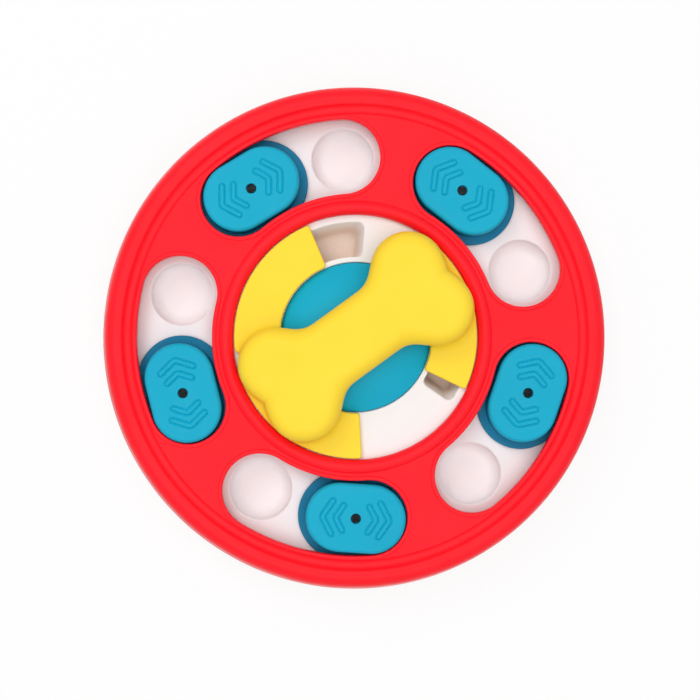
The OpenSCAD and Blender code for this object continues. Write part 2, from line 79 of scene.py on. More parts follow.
# %% The shell: rings of points, and faces between them
class Shell:
    """Points in millimetres and the faces between them."""

    def __init__(self):
        self.points, self.faces = [], []

    def ring(self, line, height):
        first = len(self.points)
        self.points += [(float(x), float(y), float(height)) for x, y in line]
        return list(range(first, len(self.points)))

    def bridge(self, a, b):
        n = len(a)
        self.faces += [(a[i], a[(i + 1) % n], b[(i + 1) % n], b[i]) for i in range(n)]

    def loft(self, outline, profile):
        """Joins the outline's rings along a profile, and gives the first and the last of them."""
        rings = [self.ring(outline(distance), height) for distance, height in profile]
        for a, b in zip(rings, rings[1:]):
            self.bridge(a, b)
        return rings[0], rings[-1]

    def close(self, ring):
        """Closes a ring with a fan of triangles round its middle."""
        middle = len(self.points)
        self.points.append(tuple(np.mean([self.points[i] for i in ring], axis=0)))
        self.faces += [(ring[i - 1], ring[i], middle) for i in range(len(ring))]

    def fill(self, *rings):
        """Fills the flat ground inside the rings, and leaves the rings within it open."""
        numbers = [i for ring in rings for i in ring]
        corners = [Vector(self.points[i][:2]) for i in numbers]
        loops, first = [], 0
        for ring in rings:
            loops.append(list(range(first, first + len(ring))))
            first += len(ring)
        made = geometry.delaunay_2d_cdt(corners, [], loops, 2, 1e-6)
        source = [numbers[origin[0]] for origin in made[3]]
        self.faces += [tuple(source[i] for i in triangle) for triangle in made[2]]


print("a shell can", [name for name in vars(Shell) if name[0] != "_"])


# %% Directions and turns
def unit(turns):
    """Points on the circle of radius one, at directions in radians."""
    return np.column_stack([np.cos(turns), np.sin(turns)])


def polar(radius, turn):
    """A point at a radius and a direction in radians."""
    return radius * np.array([math.cos(turn), math.sin(turn)])


def spoke(radius, degrees):
    """The same with the direction in degrees, as on a drawing."""
    return polar(radius, math.radians(degrees))


def turned(line, angle):
    """Points turned round the toy's axis by an angle in radians."""
    x, y = np.asarray(line, dtype=float).T
    c, s = math.cos(angle), math.sin(angle)
    return np.column_stack([x * c - y * s, x * s + y * c])


print("10 mm out, a quarter turn on:", turned([spoke(10, 0)], math.pi / 2).round(3).tolist())


# %% Round outlines and profile bends
def circle(count, centre=(0, 0)):
    """A round outline, whose distance is its radius."""
    around = unit(np.linspace(0, 2 * np.pi, count, endpoint=False))
    return lambda distance: np.array(centre) + distance * around


def bend(centre, radius, start, end, steps):
    """Profile points on an arc, from one direction in degrees to another."""
    return [tuple(np.add(centre, spoke(radius, a))) for a in np.linspace(start, end, steps + 1)]


print("a bend of three points:", np.round(bend((0, 0), 1, 0, 90, 2), 3).tolist())


# %% [markdown]
# ## From points to a finished piece
#
# A piece has its points merged where walls meet, its faces turned outwards and its sharp edges marked.
# Then Weighted Normal lets the large flat faces set the shading of the small rounded edges beside them,
# which is how a moulded edge catches a thin clean line of light. Bevel modifiers would do something
# similar, but here the roundings are already in the profiles.

# %% Make a mesh
MERGE = 1e-7  # metres, below which two points are one


def settle(piece):
    """Puts what the piece's modifiers make into its mesh, and removes them."""
    graph = bpy.context.evaluated_depsgraph_get()
    mesh = bpy.data.meshes.new_from_object(
        piece.evaluated_get(graph), preserve_all_data_layers=True, depsgraph=graph)
    piece.modifiers.clear()
    piece.data = mesh


def solid(name, shell):
    """An object with the shell's mesh in metres, merged and facing outwards."""
    mesh = bpy.data.meshes.new(name)
    mesh.from_pydata([[c * MM for c in p] for p in shell.points], [], shell.faces)
    work = bmesh.new()
    work.from_mesh(mesh)
    bmesh.ops.remove_doubles(work, verts=work.verts, dist=MERGE)
    bmesh.ops.recalc_face_normals(work, faces=work.faces)
    open_edges = sum(len(e.link_faces) != 2 for e in work.edges)
    print(name, "faces", len(work.faces), "open edges", open_edges, "cm3", round(work.calc_volume() * 1e6, 2))
    work.to_mesh(mesh)
    work.free()
    piece = bpy.data.objects.new(name, mesh)
    scene.collection.objects.link(piece)
    return piece


def combine(piece, tool, operation):
    """Joins or cuts a piece with another solid, which is used up."""
    step = piece.modifiers.new(operation, "BOOLEAN")
    step.operation, step.solver, step.object = operation, "EXACT", tool
    settle(piece)
    bpy.data.objects.remove(tool)


print("points closer than", MERGE, "m are merged")

# %% Shade a piece and hang it on its body
SHARP = 40  # degrees between faces


def shade(piece):
    """Smooth shading between sharp edges, led by the largest faces."""
    piece.data.shade_smooth()
    piece.data.set_sharp_from_angle(angle=math.radians(SHARP))
    weights = piece.modifiers.new("weights", "WEIGHTED_NORMAL")
    weights.keep_sharp = True
    settle(piece)


def hang(piece, finish, body, slot, *nodes):
    """Gives a piece its finish, its body and the packed nodes that it stands for."""
    piece.data.materials.clear()
    piece.data.materials.append(finish)
    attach(piece, body)
    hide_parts(*nodes)


print("edges stay sharp from", SHARP, "degrees")

# %% [markdown]
# ## Finishes
#
# All the coloured parts are moulded from the same kind of tough satin plastic. Such plastic isn't one
# flat colour: it is a touch deeper where it is thicker, its gloss changes a little from place to place,
# and the mould leaves a very fine grain. Deep down, on the sliders' flanges and in the rotor's pockets,
# the colour is also painted darker, as painted shade. One node group makes these effects from the
# point's own place on the toy, and each material gives it its own values.
# An image could do this too, but it would stretch over the curves.

# %% Sockets and noise in a node tree
def group_socket(tree, name, kind, way="INPUT", value=None):
    """A named input or output of a node group."""
    socket = tree.interface.new_socket(name, in_out=way, socket_type="NodeSocket" + kind)
    if value is not None:
        socket.default_value = value


def feed(tree, socket, value):
    """Sets a socket to a number or links it to another socket."""
    if isinstance(value, (int, float)):
        socket.default_value = value
    else:
        tree.links.new(value, socket)


def noise(tree, place, size_mm, detail=2.0):
    """Noise whose lumps are about size_mm across."""
    node = tree.nodes.new("ShaderNodeTexNoise")
    node.inputs["Scale"].default_value = 1 / (size_mm * MM)
    node.inputs["Detail"].default_value = detail
    tree.links.new(place, node.inputs["Vector"])
    return node.outputs["Fac"]


NOISE_LOW, NOISE_HIGH = 0.3, 0.7
print("most of a noise lies between", NOISE_LOW, "and", NOISE_HIGH)


# %% Nodes that change or mix values
def spread(tree, value, start, end, low=0.0, high=1.0, kind="LINEAR"):
    """Takes a value from the range start to end to the range low to high."""
    node = tree.nodes.new("ShaderNodeMapRange")
    node.interpolation_type = kind
    for name, source in (("Value", value), ("From Min", start), ("From Max", end),
                         ("To Min", low), ("To Max", high)):
        feed(tree, node.inputs[name], source)
    return node.outputs["Result"]


def math_node(tree, operation, a, b):
    """A sum, product or other operation on numbers or sockets."""
    node = tree.nodes.new("ShaderNodeMath")
    node.operation = operation
    feed(tree, node.inputs[0], a)
    feed(tree, node.inputs[1], b)
    return node.outputs[0]


def mix_colours(tree, share, a, b):
    """The colour between two colours at a share from 0 to 1."""
    node = tree.nodes.new("ShaderNodeMix")
    node.data_type = "RGBA"
    for name, source in (("Factor", share), ("A", a), ("B", b)):
        tree.links.new(source, node.inputs[name])
    return node.outputs["Result"]


CLOUD_SIZE, HANDLED_SIZE, GRAIN_SIZE, WAVE_SIZE, WAVE_HEIGHT = 38, 14, 0.7, 16, 6.0
print("noise sizes in mm:", CLOUD_SIZE, HANDLED_SIZE, GRAIN_SIZE, WAVE_SIZE)

# %% The node group for moulded surfaces
moulded = bpy.data.node_groups.new("moulded surface", "ShaderNodeTree")
for name, kind, value in (("Colour", "Color", (1, 1, 1, 1)), ("Deep Colour", "Color", (0.8, 0.8, 0.8, 1)),
                          ("Mottle", "Float", 0.5), ("Painted Shade Colour", "Color", (0.8, 0.8, 0.8, 1)),
                          ("Painted Shade From", "Float", -1.0), ("Painted Shade To", "Float", -2.0),
                          ("Roughness", "Float", 0.35), ("Gloss Change", "Float", 0.05)):
    group_socket(moulded, name, kind, value=value)
for name, kind in (("Colour", "Color"), ("Roughness", "Float"), ("Grain", "Float")):
    group_socket(moulded, name, kind, way="OUTPUT")
given = moulded.nodes.new("NodeGroupInput").outputs
result = moulded.nodes.new("NodeGroupOutput").inputs
place = moulded.nodes.new("ShaderNodeTexCoord").outputs["Object"]
cloud = spread(moulded, noise(moulded, place, CLOUD_SIZE), NOISE_LOW, NOISE_HIGH)
mottled = mix_colours(moulded, math_node(moulded, "MULTIPLY", cloud, given["Mottle"]),
                      given["Colour"], given["Deep Colour"])
# painted shade: below a height that each material gives, the colour turns towards a darker tone, standing in
# for the shade deep in the toy
height = moulded.nodes.new("ShaderNodeSeparateXYZ")
moulded.links.new(place, height.inputs["Vector"])
painted_shade = spread(moulded, height.outputs["Z"], given["Painted Shade From"], given["Painted Shade To"], kind="SMOOTHSTEP")
moulded.links.new(mix_colours(moulded, painted_shade, mottled, given["Painted Shade Colour"]), result["Colour"])
handled = spread(moulded, noise(moulded, place, HANDLED_SIZE), NOISE_LOW, NOISE_HIGH, -1.0, 1.0)
gloss = math_node(moulded, "MULTIPLY", handled, given["Gloss Change"])
moulded.links.new(math_node(moulded, "ADD", given["Roughness"], gloss), result["Roughness"])
fine = noise(moulded, place, GRAIN_SIZE, 3.0)
waves = math_node(moulded, "MULTIPLY", noise(moulded, place, WAVE_SIZE, 1.0), WAVE_HEIGHT)
moulded.links.new(math_node(moulded, "ADD", fine, waves), result["Grain"])
print("group sockets:", [item.name for item in moulded.interface.items_tree])


# %% A material from the group
def linear(red, green, blue):
    """A colour written with values up to 255, as the renderer wants it."""
    share = [c / 255 for c in (red, green, blue)]
    return [c / 12.92 if c < 0.04045 else ((c + 0.055) / 1.055) ** 2.4 for c in share] + [1.0]


def plastic(name, colour, deep, roughness, grain=0.06, specular=0.25, painted_shade=None):
    """A moulded surface with its own colour, gloss and depth of grain in millimetres.

    The last argument gives a darker tone painted deep down as painted shade, and the heights between which it
    sets in.
    """
    material = bpy.data.materials.new(name)
    material.use_nodes = True
    tree = material.node_tree
    shader = tree.nodes["Principled BSDF"]
    surface = tree.nodes.new("ShaderNodeGroup")
    surface.node_tree = moulded
    values = {"Colour": linear(*colour), "Deep Colour": linear(*deep), "Roughness": roughness}
    if painted_shade:
        tone, start, end = painted_shade
        values.update({"Painted Shade Colour": linear(*tone), "Painted Shade From": start * MM, "Painted Shade To": end * MM})
    for socket, value in values.items():
        surface.inputs[socket].default_value = value
    bump = tree.nodes.new("ShaderNodeBump")
    bump.inputs["Distance"].default_value = grain * MM
    tree.links.new(surface.outputs["Colour"], shader.inputs["Base Color"])
    tree.links.new(surface.outputs["Roughness"], shader.inputs["Roughness"])
    tree.links.new(surface.outputs["Grain"], bump.inputs["Height"])
    tree.links.new(bump.outputs["Normal"], shader.inputs["Normal"])
    shader.inputs["Specular IOR Level"].default_value = specular
    return material


print("a middle grey is", round(linear(128, 128, 128)[0], 3), "to the renderer")

# %% The materials
red = plastic("red housing", (255, 20, 38), (249, 13, 31), roughness=0.38)
# the sliders get painted shade: from 25.6 mm down to 18 mm their blue darkens, as shade on the flange and in
# the gaps round the caps
blue = plastic("blue sliders", (10, 170, 202), (6, 160, 192), roughness=0.48,
               painted_shade=((4, 118, 156), 25.6, 18.0))
dome_blue = plastic("blue dome", (10, 170, 202), (6, 160, 192), roughness=0.42)
yellow = plastic("yellow rotor", (253, 220, 58), (251, 213, 50), roughness=0.42)
white = plastic("white trays", (241, 237, 238), (238, 233, 234), roughness=0.45)
# the pockets get painted shade: from 21 mm down to 12 mm their white turns a darker beige, as shade deep in
# the pockets
pocket_white = plastic("white pockets", (242, 238, 238), (239, 234, 234), roughness=0.45,
                       painted_shade=((228, 206, 192), 21.0, 12.0))
rubber = plastic("rubber feet", (205, 204, 202), (192, 191, 189), roughness=0.8, grain=0.2)
steel = plastic("zinc screws", (196, 198, 204), (176, 178, 186), roughness=0.34, grain=0.03, specular=0.5)
steel.node_tree.nodes["Principled BSDF"].inputs["Metallic"].default_value = 1.0
print("materials:", [m.name for m in bpy.data.materials])

# %% [markdown]
# ## The housing
#
# The cover is one moulding. From the middle outwards it has a bead round the centre opening, a flat deck
# and a raised rim that drops into the skirt. Each slot has a low lip on top and a collar underneath that
# guides the slider. The bead, the rim and the skirt are circles lofted along their section, and each slot
# is its own outline lofted down through the deck, so the slot's ends stay true arcs.

# %% Heights of the toy, from the floor up
SKIRT, BASE, FLOOR_TOP, TRAY, DECK_UNDER, DECK, CAP, DRUM = 3.0, 2.0, 4.4, 15.2, 22.0, 25.0, 27.0, 21.6
SLOT_RADIUS, HALF_SLOT, SLOT_SWEEP, SLOT_TURN = 87.0, 18.0, 36.4, 112.3
POST_RADIUS, FOOT_RADIUS, OPENING = 103.55, 104.05, 59.0
SLOTS, PITCH = range(5), 72


def slot_direction(k):
    """The direction of a slot's middle, in degrees."""
    return SLOT_TURN + PITCH * k


print("slots at", [round(slot_direction(k), 1) for k in SLOTS])


# %% A slot's outline
def slot_outline(k):
    """The outline at a distance from the slot's curved middle line."""
    low, high = (math.radians(slot_direction(k) + s * SLOT_SWEEP / 2) for s in (-1, 1))
    along = np.linspace(low, high, 44, endpoint=False)
    half = np.linspace(0, np.pi, 44, endpoint=False)

    def outline(distance):
        return np.vstack([
            (SLOT_RADIUS + distance) * unit(along),
            SLOT_RADIUS * unit(np.array([high])) + distance * unit(high + half),
            (SLOT_RADIUS - distance) * unit(low + high - along),
            SLOT_RADIUS * unit(np.array([low])) + distance * unit(low + np.pi + half)])
    return outline


print("points round a slot:", len(slot_outline(0)(HALF_SLOT)))

# %% The slot's lip and collar, from the deck over the lip and down
LIP_TOP, LIP, LIP_OUTER, LIP_INNER = 25.7, HALF_SLOT + 2.0, 0.5, 0.7
COLLAR_IN, COLLAR_OUT, COLLAR_FOOT, EDGE = 20.0, 21.8, 17.8, 0.3
lip = ([(LIP + 0.08, DECK), (LIP, DECK + 0.08)]
       + bend((LIP - LIP_OUTER, LIP_TOP - LIP_OUTER), LIP_OUTER, 0, 90, 5)
       + bend((HALF_SLOT + LIP_INNER, LIP_TOP - LIP_INNER), LIP_INNER, 90, 180, 6))
collar = [(HALF_SLOT, DECK_UNDER + EDGE), (HALF_SLOT + EDGE, DECK_UNDER), (COLLAR_IN - 0.2, DECK_UNDER),
          (COLLAR_IN, DECK_UNDER - 0.2), (COLLAR_IN, COLLAR_FOOT + EDGE), (COLLAR_IN + EDGE, COLLAR_FOOT),
          (COLLAR_OUT - EDGE, COLLAR_FOOT), (COLLAR_OUT, COLLAR_FOOT + EDGE), (COLLAR_OUT, DECK_UNDER)]
print("the lip stands", round(LIP_TOP - DECK, 2), "mm over the deck")

# %% The rim and the skirt, from the deck out, down and back under the deck
WALL = 2.6
VALLEY_CENTRE, VALLEY_ROUND = (109.355, 26.596), 3.0
SHOULDER_CENTRE, SHOULDER_ROUND, SHOULDER_TURN = (113.5, 23.8), 2.0, 146
RIM_CENTRE, RIM_ROUND = (115.0, 19.8), 6.0
SKIRT_OUT, SKIRT_IN = 124.37, 122.72
outside = ([(107.14, DECK), (107.15, DECK - 0.1)]
           + bend(VALLEY_CENTRE, VALLEY_ROUND, -137.2, SHOULDER_TURN - 180, 12)
           + bend(SHOULDER_CENTRE, SHOULDER_ROUND, SHOULDER_TURN, 90, 8)
           + bend(RIM_CENTRE, RIM_ROUND, 90, 0, 14)
           + bend((SKIRT_OUT, SKIRT + 0.5), 0.5, 13, -90, 5)
           + bend((SKIRT_IN, SKIRT + 0.4), 0.4, -90, -167, 4)
           + bend(RIM_CENTRE, RIM_ROUND - WALL, 0, 90, 10)
           + [(110.655, DECK_UNDER)])
print("the rim stands", round(RIM_CENTRE[1] + RIM_ROUND - DECK, 2), "mm over the deck")

# %% The bead round the opening, and the screw posts
BEAD_CENTRE, BEAD_ROUND = (62.6, 23.0), 3.6
bead = (bend(BEAD_CENTRE, BEAD_ROUND, 33.75, 180, 16)
        + [(OPENING, DECK_UNDER + EDGE), (OPENING + EDGE, DECK_UNDER)])
POST, POST_FOOT, POST_HOLE, HOLE_TOP = 4.5, 7.2, 1.55, 19.0
post = [(POST, DECK_UNDER), (POST, POST_FOOT + EDGE), (POST - EDGE, POST_FOOT), (POST_HOLE + EDGE, POST_FOOT),
        (POST_HOLE, POST_FOOT + EDGE), (POST_HOLE, HOLE_TOP)]
print("the bead's top is at", BEAD_CENTRE[1] + BEAD_ROUND)

# %% Build the housing
housing = Shell()
rounds = circle(320)
deck_rings, under_rings = [], []
walls = [(rounds, outside), (rounds, bead)] + [(slot_outline(k), lip + collar) for k in SLOTS]
for outline, profile in walls:
    top, under = housing.loft(outline, profile)
    deck_rings.append(top)
    under_rings.append(under)
for k in SLOTS:
    foot, end = housing.loft(circle(36, spoke(POST_RADIUS, slot_direction(k) - PITCH / 2)), post)
    under_rings.append(foot)
    housing.close(end)
housing.fill(*deck_rings)
housing.fill(*under_rings)
cover = solid("housing", housing)
shade(cover)
guides = [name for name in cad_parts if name.startswith("guide")]
hang(cover, red, "frame", "cover_red", "cover", *guides)

# %% [markdown]
# ## The sliders
#
# A slider is a long round-ended button. Its flange runs under the deck between the collars, and its cap
# stands a little over the lip, with a scent hole in the middle and two raised arrow heads at each end
# that show which way it goes. The cap is a straight round-ended outline lofted from the hollow underside
# over the flange to the top. Each arrow head is an outline of its own, with a shallow groove round it,
# so its edges stay soft and clean at any size.

# %% The slider's outline, in its own place with its length along Y
CAP_HALF, CAP_STRAIGHT, CAP_ROUND, FLANGE_HALF, FLANGE_SHORT = 16.6, 15.0, 2.0, 21.25, 0.8


def button(distance):
    """The slider's outline at a distance from its middle line. The flange's ends are a little shorter."""
    reach = CAP_STRAIGHT / 2 - FLANGE_SHORT * min(max(distance - CAP_HALF, 0), 1)
    along = np.linspace(-reach, reach, 14, endpoint=False)
    across = np.full(len(along), distance)
    end = distance * unit(np.linspace(0, np.pi, 52, endpoint=False))
    return np.vstack([np.column_stack([across, along]), end + (0, reach),
                      np.column_stack([-across, -along]), -end - (0, reach)])


print("cap", 2 * CAP_HALF, "by", 2 * CAP_HALF + CAP_STRAIGHT, "mm")

# %% The outline round an arrow head
ARROW_ROUND, ARROW_LEAN = 2.0, math.radians(31)
ARROWS = ((16.2, 9.3), (9.8, 7.0))  # distance of the tip from the scent hole, and length of an arm


def arrow(tip, arm, ahead):
    """The outline round a bent stroke whose arms fall back from its tip."""
    middle = np.array([0, tip - ARROW_ROUND / math.cos(ARROW_LEAN)])
    curve = np.linspace(np.pi / 2 + ARROW_LEAN, np.pi / 2 - ARROW_LEAN, 9)
    tip_line = middle + ARROW_ROUND * unit(curve)
    right = np.array([arm * math.cos(ARROW_LEAN), tip - arm * math.sin(ARROW_LEAN)])
    left = right * (-1, 1)
    share = np.linspace(0, 1, 6, endpoint=False)[:, None]
    line = np.vstack([left + share * (tip_line[0] - left), tip_line,
                      right + (share * (tip_line[-1] - right))[::-1]])
    normal = unit(np.concatenate([np.full(6, curve[0]), curve, np.full(6, curve[-1])]))
    half = np.linspace(0, -np.pi, 12)[1:-1]

    def outline(distance):
        def end(centre, start):
            return centre + distance * unit(start + half)
        return ahead * np.vstack([line + distance * normal, end(right, curve[-1]),
                                  (line - distance * normal)[::-1], end(left, curve[0] - np.pi)])
    return outline


print("points round an arrow head:", len(arrow(*ARROWS[0], 1)(1)))

# %% The slider's sections
FLANGE, FLANGE_TOP, HOLLOW, CEILING, SCENT = 15.5, 17.5, 14.4, 24.8, 2.4
around = ([(HOLLOW - CAP_ROUND, CEILING)]
          + bend((HOLLOW - CAP_ROUND, CEILING - CAP_ROUND), CAP_ROUND, 90, 0, 6)[1:]
          + [(HOLLOW, FLANGE + 0.3), (HOLLOW + 0.3, FLANGE)]
          + bend((FLANGE_HALF - 0.4, FLANGE + 0.4), 0.4, -90, 0, 3)
          + bend((FLANGE_HALF - 0.6, FLANGE_TOP - 0.6), 0.6, 0, 90, 4)
          + bend((CAP_HALF + 1.0, FLANGE_TOP + 1.0), 1.0, -90, -180, 4)
          + bend((CAP_HALF - CAP_ROUND, CAP - CAP_ROUND), CAP_ROUND, 0, 90, 8))
scent_hole = bend((SCENT + 0.5, CAP - 0.5), 0.5, 90, 180, 4) + [(SCENT, CEILING)]
# from the outer edge of the groove round an arrow head in to the top of its ridge
relief = [(1.95, CAP), (1.82, CAP - 0.06), (1.66, CAP - 0.24), (1.5, CAP - 0.4), (1.34, CAP - 0.44),
          (1.2, CAP - 0.36), (1.08, CAP - 0.14), (0.98, CAP + 0.1), (0.84, CAP + 0.28), (0.62, CAP + 0.41),
          (0.4, CAP + 0.47), (0.2, CAP + 0.5)]
print("wall of the cap", round(CAP_HALF - HOLLOW, 2), "mm")

# %% Build one slider
slider = Shell()
ceiling, top = slider.loft(button, around)
hole_top, hole_under = slider.loft(circle(48), scent_hole)
grooves = []
for ahead in (-1, 1):
    for tip, arm in ARROWS:
        groove, ridge = slider.loft(arrow(tip, arm, ahead), relief)
        slider.fill(ridge)
        grooves.append(groove)
slider.fill(top, hole_top, *grooves)
slider.fill(ceiling, hole_under)
print("faces of a slider:", len(slider.faces))

# %% Copy it into the five slots
# degrees from the slot's middle to the slider, and how far the slider lies askew, clockwise
SLIDER_TURNS, SLIDER_SKEW = (12.944, 13.734, 13.734, 13.734, 13.734), (4, 4, 4, 0.8, 2.2)
shape = np.array(slider.points)
for k in SLOTS:
    askew = turned(shape[:, :2], -math.radians(SLIDER_SKEW[k])) + (SLOT_RADIUS, 0)
    placed = Shell()
    placed.points = np.column_stack(
        [turned(askew, math.radians(slot_direction(k) + SLIDER_TURNS[k])), shape[:, 2]]).tolist()
    placed.faces = slider.faces
    piece = solid(f"slider_cap_{k + 1}", placed)
    shade(piece)
    hang(piece, blue, f"slider_{k + 1}", "slider_blue", f"slider_{k + 1}")

# %% [markdown]
# ## The treat trays
#
# Under each slot lies a white tray, a fifth of a ring, with two round bowls pressed down into it. The
# tray's rim keeps clear of the housing's screw posts. A bowl is a circle lofted from its soft mouth down
# the wall and round into the floor, once for the inside and once, a wall's thickness further out, for
# the outside.

# %% The tray's outline
TRAY_UNDER, TRAY_IN, TRAY_OUT, HALF_GAP, POST_CLEAR = 13.0, 61.8, 118.9, 0.09, 4.8


def arc(radius, a, b, steps):
    """Points between a and b on the circle that they lie on, without them."""
    return radius * unit(np.linspace(math.atan2(a[1], a[0]), math.atan2(b[1], b[0]), steps)[1:-1])


def fifth(k):
    """The outline of a fifth of a ring, drawn in by a distance, that goes round the posts."""
    def outline(inset):
        outer, inner, beside, clear = TRAY_OUT - inset, TRAY_IN + inset, HALF_GAP + inset, POST_CLEAR + inset
        reach, start = math.sqrt(clear ** 2 - beside ** 2), math.asin(beside / clear)
        notch = np.linspace(start, np.pi - start, 14)
        far, near = (math.sqrt(radius ** 2 - beside ** 2) for radius in (outer, inner))
        # a side in its own frame: along the edge of the fifth, and square to it
        along = np.concatenate([np.linspace(far, POST_RADIUS + reach, 4)[:-1],
                                POST_RADIUS + clear * np.cos(notch),
                                np.linspace(POST_RADIUS - reach, near, 12)[1:]])
        square = np.concatenate([np.full(3, beside), clear * np.sin(notch), np.full(11, beside)])
        high = turned(np.column_stack([along, -square]), math.radians(PITCH / 2))
        low = high * (1, -1)
        line = np.vstack([low[::-1], arc(outer, low[0], high[0], 40),
                          high, arc(inner, high[-1], low[-1], 24)])
        return turned(line, math.radians(slot_direction(k)))
    return outline


print("points round a tray:", len(fifth(0)(0)))

# %% The sections of a tray
BOWL, BOWL_FLOOR, BOWL_ROUND, BOWL_WALL, BOWL_MIDDLE = 15.0, 6.0, 5.5, 1.6, 4.0
corner = (BOWL - BOWL_ROUND, BOWL_FLOOR + BOWL_ROUND)
bowl_inside = (bend((BOWL + 1, TRAY - 1), 1, 90, 180, 6)
               + bend(corner, BOWL_ROUND, 0, -90, 12) + [(BOWL_MIDDLE, BOWL_FLOOR)])
bowl_outside = ([(BOWL + BOWL_WALL, TRAY_UNDER)]
                + bend(corner, BOWL_ROUND + BOWL_WALL, 0, -90, 12) + [(BOWL_MIDDLE, FLOOR_TOP)])
tray_edge = [(0.4, TRAY), (0.1, TRAY - 0.1), (0, TRAY - 0.4), (0, TRAY_UNDER + 0.3), (0.3, TRAY_UNDER)]
print("a bowl is", round(TRAY - BOWL_FLOOR, 2), "mm deep")

# %% Build the five trays
for k in SLOTS:
    tray = Shell()
    tops, unders = ([ring] for ring in tray.loft(fifth(k), tray_edge))
    for side in (-1, 1):
        round_bowl = circle(72, spoke(SLOT_RADIUS, slot_direction(k) + side * SLOT_SWEEP / 2))
        for profile, rings in ((bowl_inside, tops), (bowl_outside, unders)):
            mouth, bottom = tray.loft(round_bowl, profile)
            rings.append(mouth)
            tray.close(bottom)
    tray.fill(*tops)
    tray.fill(*unders)
    piece = solid(f"treat_tray_{k + 1}", tray)
    shade(piece)
    hang(piece, white, "frame", "tray_white", f"dish_{k + 1}")

# %% [markdown]
# ## The drum under the rotor
#
# The drum carries the rotor's three treat pockets. It is a round white box with a ring wall that seats
# the blue dome and a tube in the middle for the rotor's spindle. Its pockets are parts of a ring with
# leaning walls and round corners. The walls and the tubs overlap here, so solids are joined and cut with
# boolean modifiers, which saves working out every line where they meet.

# %% The drum without its pockets
DRUM_OUT, DRUM_IN, RING_OUT, RING_IN, TUBE, BORE = 61.5, 59.1, 38.7, 36.3, 10.08, 6.08
DRUM_UNDER, SEAT, SEAT_UNDER, TUBE_FOOT = 19.2, 18.0, 15.6, 8.1
drum_section = (bend((DRUM_OUT - 0.6, DRUM - 0.6), 0.6, 0, 90, 4)
                + [(RING_IN + 0.4, DRUM), (RING_IN, DRUM - 0.4), (RING_IN, SEAT), (BORE, SEAT),
                   (BORE, TUBE_FOOT), (TUBE, TUBE_FOOT), (TUBE, SEAT_UNDER), (RING_IN, SEAT_UNDER),
                   (RING_IN, FLOOR_TOP), (RING_OUT, FLOOR_TOP), (RING_OUT, DRUM_UNDER),
                   (DRUM_IN, DRUM_UNDER), (DRUM_IN, FLOOR_TOP), (DRUM_OUT, FLOOR_TOP)])


def spin(name, count, section):
    """A solid made by turning a closed section round the axis."""
    shell = Shell()
    first, last = shell.loft(circle(count), section)
    shell.bridge(last, first)
    return solid(name, shell)


drum = spin("drum", 240, drum_section)

# %% The pocket's outline
POCKET_TURN, POCKET_OUT, POCKET_CORNER, HALF_SWEEP = 115.3, 55.8, 3.0, math.radians(30)


def pocket(turn, inner, corner):
    """The outline of part of a ring with round corners, drawn in from its outer wall and its ends."""
    def outline(inset):
        outer = POCKET_OUT - inset
        far, near = outer - corner, inner + corner
        far_turn, near_turn = (HALF_SWEEP - math.asin((inset + corner) / radius) for radius in (far, near))
        one_end, other_end = HALF_SWEEP + np.pi / 2, 3 * np.pi / 2 - HALF_SWEEP

        def rounding(radius, towards, start, end):
            return polar(radius, towards) + corner * unit(np.linspace(start, end, 9))
        points = np.vstack([
            outer * unit(np.linspace(-far_turn, far_turn, 30)),
            rounding(far, far_turn, far_turn, one_end)[1:],
            rounding(near, near_turn, one_end, near_turn + np.pi)[:-1],
            inner * unit(np.linspace(near_turn, -near_turn, 24)),
            rounding(near, -near_turn, np.pi - near_turn, other_end)[1:],
            rounding(far, -far_turn, other_end, 2 * np.pi - far_turn)[:-1]])
        return turned(points, math.radians(turn))
    return outline


print("points round a pocket:", len(pocket(POCKET_TURN, RING_OUT, POCKET_CORNER)(0)))

# %% A pocket's section, for the tub round it and for the hollow in it
POCKET_TOP, POCKET_DEPTH, LEAN = 20.6, 12.6, 4.6


def draw_in(z):
    """How far a pocket's wall has moved in at a height."""
    return LEAN * (DRUM - z) / POCKET_DEPTH


def tub_section(wall, top, floor):
    """The wall's rounding into the floor, and the wall up to its top."""
    radius = POCKET_CORNER + wall
    start = draw_in(floor + radius) - wall + radius
    return [(start - radius * math.sin(a), floor + radius * (1 - math.cos(a)))
            for a in np.radians([0, 18, 36, 54, 72])] + [(draw_in(top) - wall, top)]


rim = draw_in(POCKET_TOP) - 1
mouth = [(rim + math.cos(a), POCKET_TOP + math.sin(a)) for a in np.radians([15, 30, 45, 60, 75, 88])]
TUBS = (("UNION", 37.5, 1.6, tub_section(1.6, 20.4, 7.4)),
        ("DIFFERENCE", 38.75, 0, tub_section(0, POCKET_TOP, 9.0) + mouth + [(rim, 23.0)]))
print("a pocket's wall leans in by", round(draw_in(9.0), 2), "mm at its floor")

# %% Join the tubs to the drum and cut the pockets
for p in range(3):
    for operation, inner, wall, section in TUBS:
        tub = Shell()
        bottom, top = tub.loft(pocket(POCKET_TURN + 120 * p, inner, POCKET_CORNER + wall / 2), section)
        tub.fill(bottom)
        tub.fill(top)
        combine(drum, solid("tub", tub), operation)
shade(drum)
hang(drum, pocket_white, "frame", "tray_white", "drum")

# %% [markdown]
# ## The dome
#
# A shallow blue dome sits in the drum's ring under the handle. It is part of a large ball with a rounded
# foot and a hole for the spindle, which is simply one section turned round the axis.

# %% Build the dome
BALL, DOME_TOP, DOME_RADIUS, DOME_HOLE, DOME_EDGE = 73.64, 31.0, 36.0, 6.6, 35.3
DOME_WALL, DOME_INSIDE = 2.4, 31.2


def ball_height(radius, inset=0.0):
    """The height of the dome's ball at a radius, or of a smaller ball inside it."""
    return DOME_TOP - BALL + math.sqrt((BALL - inset) ** 2 - radius ** 2)


